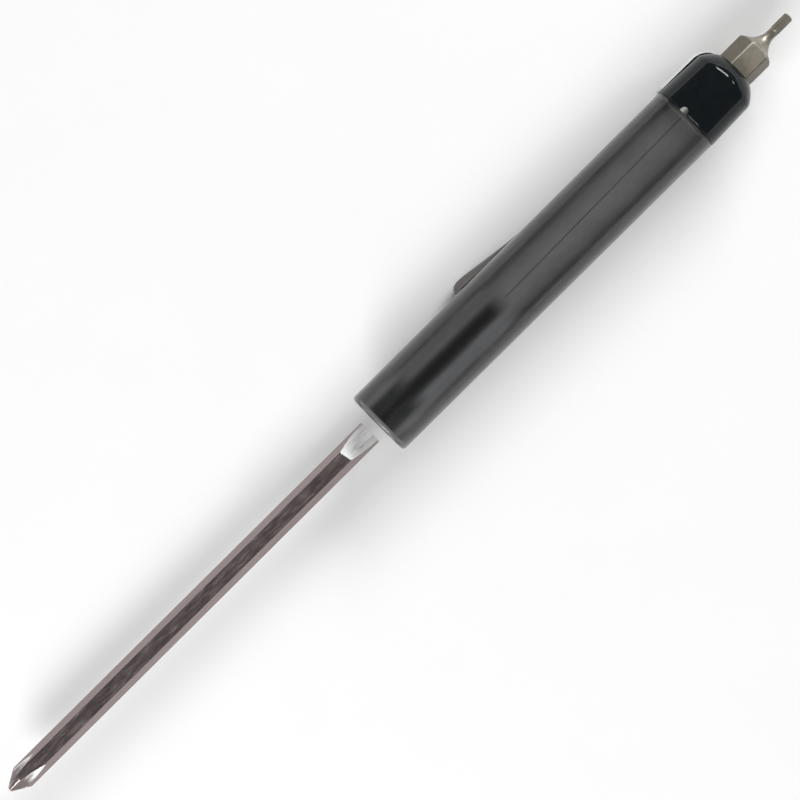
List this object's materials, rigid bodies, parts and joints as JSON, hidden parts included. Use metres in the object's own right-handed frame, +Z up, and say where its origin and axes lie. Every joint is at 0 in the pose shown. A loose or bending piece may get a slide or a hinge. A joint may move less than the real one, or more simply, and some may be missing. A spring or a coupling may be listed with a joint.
{
  "type": "pocket screwdriver",
  "caption": "Pen-shaped pocket screwdriver with a smoky barrel, reversible hexagonal blade, black cap that holds an insert bit, and a sprung steel pocket clip.",
  "frame": {"origin": "on the surface that the tool lies on, under the middle of the whole tool with its blade drawn out", "axes": "+X along the tool from the blade's cross tip to the bit, +Y to the side that the pocket clip is on, +Z up"},
  "size_m": [0.187, 0.0142, 0.0132],
  "materials": {
    "smoky_plastic": "smoky grey satin moulded plastic, slightly see-through",
    "bush_plastic": "black moulded plastic",
    "cap_plastic": "glossy black moulded plastic",
    "blade_steel": "bright nickel-plated drawn steel",
    "bit_steel": "warm grey satin hardened steel",
    "magnet_plating": "nickel-plated sintered magnet",
    "clip_steel": "polished stamped steel"
  },
  "bodies": {
    "handle": {"barrel": "smoky_plastic", "blade_bush": "bush_plastic", "end_cap": "cap_plastic", "bit_magnet": "magnet_plating", "clip_head": "clip_steel"},
    "blade": {"blade": "blade_steel"},
    "bit": {"insert_bit": "bit_steel"},
    "clip": {"clip_arm": "clip_steel"}
  },
  "joints": [
    {"name": "blade_slide", "type": "slide", "parent": "handle", "child": "blade", "axis": [1, 0, 0], "range_m": [0, 0.0312]},
    {"name": "bit_slide", "type": "slide", "parent": "handle", "child": "bit", "axis": [1, 0, 0], "range_m": [0, 0.0135]},
    {"name": "clip_flex", "type": "hinge", "parent": "handle", "child": "clip", "pos_m": [0.0673, 0.00468, 0.00251], "axis": [0, -0.6157, -0.788], "range_deg": [0, 4], "stiffness_Nm_per_rad": 1.5}
  ]
}
